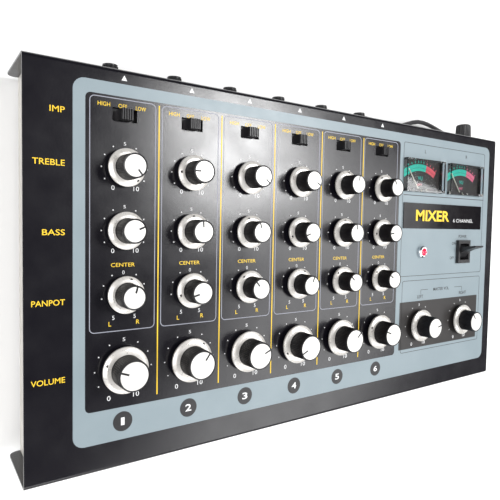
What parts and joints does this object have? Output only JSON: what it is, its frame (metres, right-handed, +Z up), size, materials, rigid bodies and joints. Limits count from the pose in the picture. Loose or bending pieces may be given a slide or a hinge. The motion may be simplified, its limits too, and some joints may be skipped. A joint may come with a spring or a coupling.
{
  "type": "audio mixer",
  "caption": "Desktop audio mixer in a folded steel case: channel columns of tone, pan and volume knobs, slide switches, and a stereo master section with level meters.",
  "frame": {"origin": "on the table, under the middle of the box round the object without its mains lead", "axes": "+X along the panel from channel one to the master section, +Y to the rear where the sockets are, +Z up out of the panel"},
  "size_m": [0.502, 0.2532, 0.075],
  "materials": {
    "black_paint": "semi-gloss",
    "cream_paint": "satin",
    "rubber": "matte",
    "dark_steel": "satin",
    "board": "satin",
    "iron_core": "matte",
    "plated_steel": "satin",
    "black_plastic": "satin",
    "nickel": "polished",
    "cord_rubber": "satin",
    "dial_card": "matte",
    "clear_plastic": "clear",
    "needle": "painted",
    "plate_black": "gloss",
    "chrome": "polished",
    "red_lens": "clear red",
    "knob": "fluted grip, with spun aluminium skirt and cap"
  },
  "bodies": {
    "case": {"top_panel": "black_paint", "base_tray": "cream_paint", "rubber_feet": "rubber", "case_screws": "dark_steel", "circuit_boards": "board", "transformer": "iron_core", "pot_bodies": "plated_steel", "pot_nuts": "plated_steel", "slide_switch_bodies": "plated_steel", "input_jacks": "black_plastic", "jack_nuts": "nickel", "output_sockets": "nickel", "fuse_holder_body": "black_plastic", "strain_relief": "cord_rubber", "meter_movements": "black_plastic", "meter_dials": "dial_card", "meter_windows": "clear_plastic", "name_plate": "plate_black", "pilot_lamp_bezel": "chrome", "pilot_lamp_lens": "red_lens", "power_switch_body": "black_plastic", "mains_cord": "cord_rubber", "cord_coil": "cord_rubber", "mains_plug": "cord_rubber"},
    "fuse_cap": {"fuse_cap": "black_plastic"},
    "needle_left": {"needle_left": "needle"},
    "needle_right": {"needle_right": "needle"},
    "power_lever": {"power_lever": "black_plastic"},
    "slider_1": {"slider_1": "black_plastic"},
    "slider_2": {"slider_2": "black_plastic"},
    "slider_3": {"slider_3": "black_plastic"},
    "slider_4": {"slider_4": "black_plastic"},
    "slider_5": {"slider_5": "black_plastic"},
    "slider_6": {"slider_6": "black_plastic"},
    "treble_knob_1": {"treble_knob_1": "knob"},
    "treble_knob_2": {"treble_knob_2": "knob"},
    "treble_knob_3": {"treble_knob_3": "knob"},
    "treble_knob_4": {"treble_knob_4": "knob"},
    "treble_knob_5": {"treble_knob_5": "knob"},
    "treble_knob_6": {"treble_knob_6": "knob"},
    "bass_knob_1": {"bass_knob_1": "knob"},
    "bass_knob_2": {"bass_knob_2": "knob"},
    "bass_knob_3": {"bass_knob_3": "knob"},
    "bass_knob_4": {"bass_knob_4": "knob"},
    "bass_knob_5": {"bass_knob_5": "knob"},
    "bass_knob_6": {"bass_knob_6": "knob"},
    "panpot_knob_1": {"panpot_knob_1": "knob"},
    "panpot_knob_2": {"panpot_knob_2": "knob"},
    "panpot_knob_3": {"panpot_knob_3": "knob"},
    "panpot_knob_4": {"panpot_knob_4": "knob"},
    "panpot_knob_5": {"panpot_knob_5": "knob"},
    "panpot_knob_6": {"panpot_knob_6": "knob"},
    "volume_knob_1": {"volume_knob_1": "knob"},
    "volume_knob_2": {"volume_knob_2": "knob"},
    "volume_knob_3": {"volume_knob_3": "knob"},
    "volume_knob_4": {"volume_knob_4": "knob"},
    "volume_knob_5": {"volume_knob_5": "knob"},
    "volume_knob_6": {"volume_knob_6": "knob"},
    "master_knob_left": {"master_knob_left": "knob"},
    "master_knob_right": {"master_knob_right": "knob"}
  },
  "joints": [
    {"name": "power_lever_tip", "type": "hinge", "parent": "case", "child": "power_lever", "pos_m": [0.1668, 0.00015, 0.0525], "axis": [1, 0, 0], "range_deg": [0, 28]},
    {"name": "needle_left_swing", "type": "hinge", "parent": "case", "child": "needle_left", "pos_m": [0.1068, 0.05115, 0.0538], "axis": [0, 0, -1], "range_deg": [0, 76], "stiffness_Nm_per_rad": 0.0002},
    {"name": "needle_right_swing", "type": "hinge", "parent": "case", "child": "needle_right", "pos_m": [0.1668, 0.05115, 0.0538], "axis": [0, 0, -1], "range_deg": [0, 76], "stiffness_Nm_per_rad": 0.0002},
    {"name": "fuse_cap_turn", "type": "hinge", "parent": "case", "child": "fuse_cap", "pos_m": [0.192, 0.10915, 0.037], "axis": [0, 1, 0], "range_deg": [0, 60]},
    {"name": "slider_1_slide", "type": "slide", "parent": "case", "child": "slider_1", "axis": [1, 0, 0], "range_m": [-0.0035, 0.0035]},
    {"name": "slider_2_slide", "type": "slide", "parent": "case", "child": "slider_2", "axis": [1, 0, 0], "range_m": [-0.0035, 0.0035]},
    {"name": "slider_3_slide", "type": "slide", "parent": "case", "child": "slider_3", "axis": [1, 0, 0], "range_m": [-0.0035, 0.0035]},
    {"name": "slider_4_slide", "type": "slide", "parent": "case", "child": "slider_4", "axis": [1, 0, 0], "range_m": [-0.0035, 0.0035]},
    {"name": "slider_5_slide", "type": "slide", "parent": "case", "child": "slider_5", "axis": [1, 0, 0], "range_m": [-0.0035, 0.0035]},
    {"name": "slider_6_slide", "type": "slide", "parent": "case", "child": "slider_6", "axis": [1, 0, 0], "range_m": [-0.0035, 0.0035]},
    {"name": "treble_knob_1_turn", "type": "hinge", "parent": "case", "child": "treble_knob_1", "pos_m": [-0.1615, 0.05315, 0.057], "axis": [0, 0, -1], "range_deg": [-291, 9]},
    {"name": "treble_knob_2_turn", "type": "hinge", "parent": "case", "child": "treble_knob_2", "pos_m": [-0.1185, 0.05315, 0.057], "axis": [0, 0, -1], "range_deg": [-60, 240]},
    {"name": "treble_knob_3_turn", "type": "hinge", "parent": "case", "child": "treble_knob_3", "pos_m": [-0.0755, 0.05315, 0.057], "axis": [0, 0, -1], "range_deg": [-282, 18]},
    {"name": "treble_knob_4_turn", "type": "hinge", "parent": "case", "child": "treble_knob_4", "pos_m": [-0.0325, 0.05315, 0.057], "axis": [0, 0, -1], "range_deg": [-269, 31]},
    {"name": "treble_knob_5_turn", "type": "hinge", "parent": "case", "child": "treble_knob_5", "pos_m": [0.0105, 0.05315, 0.057], "axis": [0, 0, -1], "range_deg": [-157, 143]},
    {"name": "treble_knob_6_turn", "type": "hinge", "parent": "case", "child": "treble_knob_6", "pos_m": [0.0535, 0.05315, 0.057], "axis": [0, 0, -1], "range_deg": [-117, 183]},
    {"name": "bass_knob_1_turn", "type": "hinge", "parent": "case", "child": "bass_knob_1", "pos_m": [-0.1615, 0.01715, 0.057], "axis": [0, 0, -1], "range_deg": [-217, 83]},
    {"name": "bass_knob_2_turn", "type": "hinge", "parent": "case", "child": "bass_knob_2", "pos_m": [-0.1185, 0.01715, 0.057], "axis": [0, 0, -1], "range_deg": [-145, 155]},
    {"name": "bass_knob_3_turn", "type": "hinge", "parent": "case", "child": "bass_knob_3", "pos_m": [-0.0755, 0.01715, 0.057], "axis": [0, 0, -1], "range_deg": [-131, 169]},
    {"name": "bass_knob_4_turn", "type": "hinge", "parent": "case", "child": "bass_knob_4", "pos_m": [-0.0325, 0.01715, 0.057], "axis": [0, 0, -1], "range_deg": [-41, 259]},
    {"name": "bass_knob_5_turn", "type": "hinge", "parent": "case", "child": "bass_knob_5", "pos_m": [0.0105, 0.01715, 0.057], "axis": [0, 0, -1], "range_deg": [-142, 158]},
    {"name": "bass_knob_6_turn", "type": "hinge", "parent": "case", "child": "bass_knob_6", "pos_m": [0.0535, 0.01715, 0.057], "axis": [0, 0, -1], "range_deg": [-56, 244]},
    {"name": "panpot_knob_1_turn", "type": "hinge", "parent": "case", "child": "panpot_knob_1", "pos_m": [-0.1615, -0.01985, 0.057], "axis": [0, 0, -1], "range_deg": [-165, 135]},
    {"name": "panpot_knob_2_turn", "type": "hinge", "parent": "case", "child": "panpot_knob_2", "pos_m": [-0.1185, -0.01985, 0.057], "axis": [0, 0, -1], "range_deg": [-45, 255]},
    {"name": "panpot_knob_3_turn", "type": "hinge", "parent": "case", "child": "panpot_knob_3", "pos_m": [-0.0755, -0.01985, 0.057], "axis": [0, 0, -1], "range_deg": [-110, 190]},
    {"name": "panpot_knob_4_turn", "type": "hinge", "parent": "case", "child": "panpot_knob_4", "pos_m": [-0.0325, -0.01985, 0.057], "axis": [0, 0, -1], "range_deg": [-168, 132]},
    {"name": "panpot_knob_5_turn", "type": "hinge", "parent": "case", "child": "panpot_knob_5", "pos_m": [0.0105, -0.01985, 0.057], "axis": [0, 0, -1], "range_deg": [-104, 196]},
    {"name": "panpot_knob_6_turn", "type": "hinge", "parent": "case", "child": "panpot_knob_6", "pos_m": [0.0535, -0.01985, 0.057], "axis": [0, 0, -1], "range_deg": [-97, 203]},
    {"name": "volume_knob_1_turn", "type": "hinge", "parent": "case", "child": "volume_knob_1", "pos_m": [-0.1615, -0.06385, 0.057], "axis": [0, 0, -1], "range_deg": [-80, 220]},
    {"name": "volume_knob_2_turn", "type": "hinge", "parent": "case", "child": "volume_knob_2", "pos_m": [-0.1185, -0.06385, 0.057], "axis": [0, 0, -1], "range_deg": [-186, 114]},
    {"name": "volume_knob_3_turn", "type": "hinge", "parent": "case", "child": "volume_knob_3", "pos_m": [-0.0755, -0.06385, 0.057], "axis": [0, 0, -1], "range_deg": [-217, 83]},
    {"name": "volume_knob_4_turn", "type": "hinge", "parent": "case", "child": "volume_knob_4", "pos_m": [-0.0325, -0.06385, 0.057], "axis": [0, 0, -1], "range_deg": [-35, 265]},
    {"name": "volume_knob_5_turn", "type": "hinge", "parent": "case", "child": "volume_knob_5", "pos_m": [0.0105, -0.06385, 0.057], "axis": [0, 0, -1], "range_deg": [-197, 103]},
    {"name": "volume_knob_6_turn", "type": "hinge", "parent": "case", "child": "volume_knob_6", "pos_m": [0.0535, -0.06385, 0.057], "axis": [0, 0, -1], "range_deg": [-82, 218]},
    {"name": "master_knob_left_turn", "type": "hinge", "parent": "case", "child": "master_knob_left", "pos_m": [0.1068, -0.06385, 0.057], "axis": [0, 0, -1], "range_deg": [-227, 73]},
    {"name": "master_knob_right_turn", "type": "hinge", "parent": "case", "child": "master_knob_right", "pos_m": [0.1668, -0.06385, 0.057], "axis": [0, 0, -1], "range_deg": [-115, 185]}
  ]
}
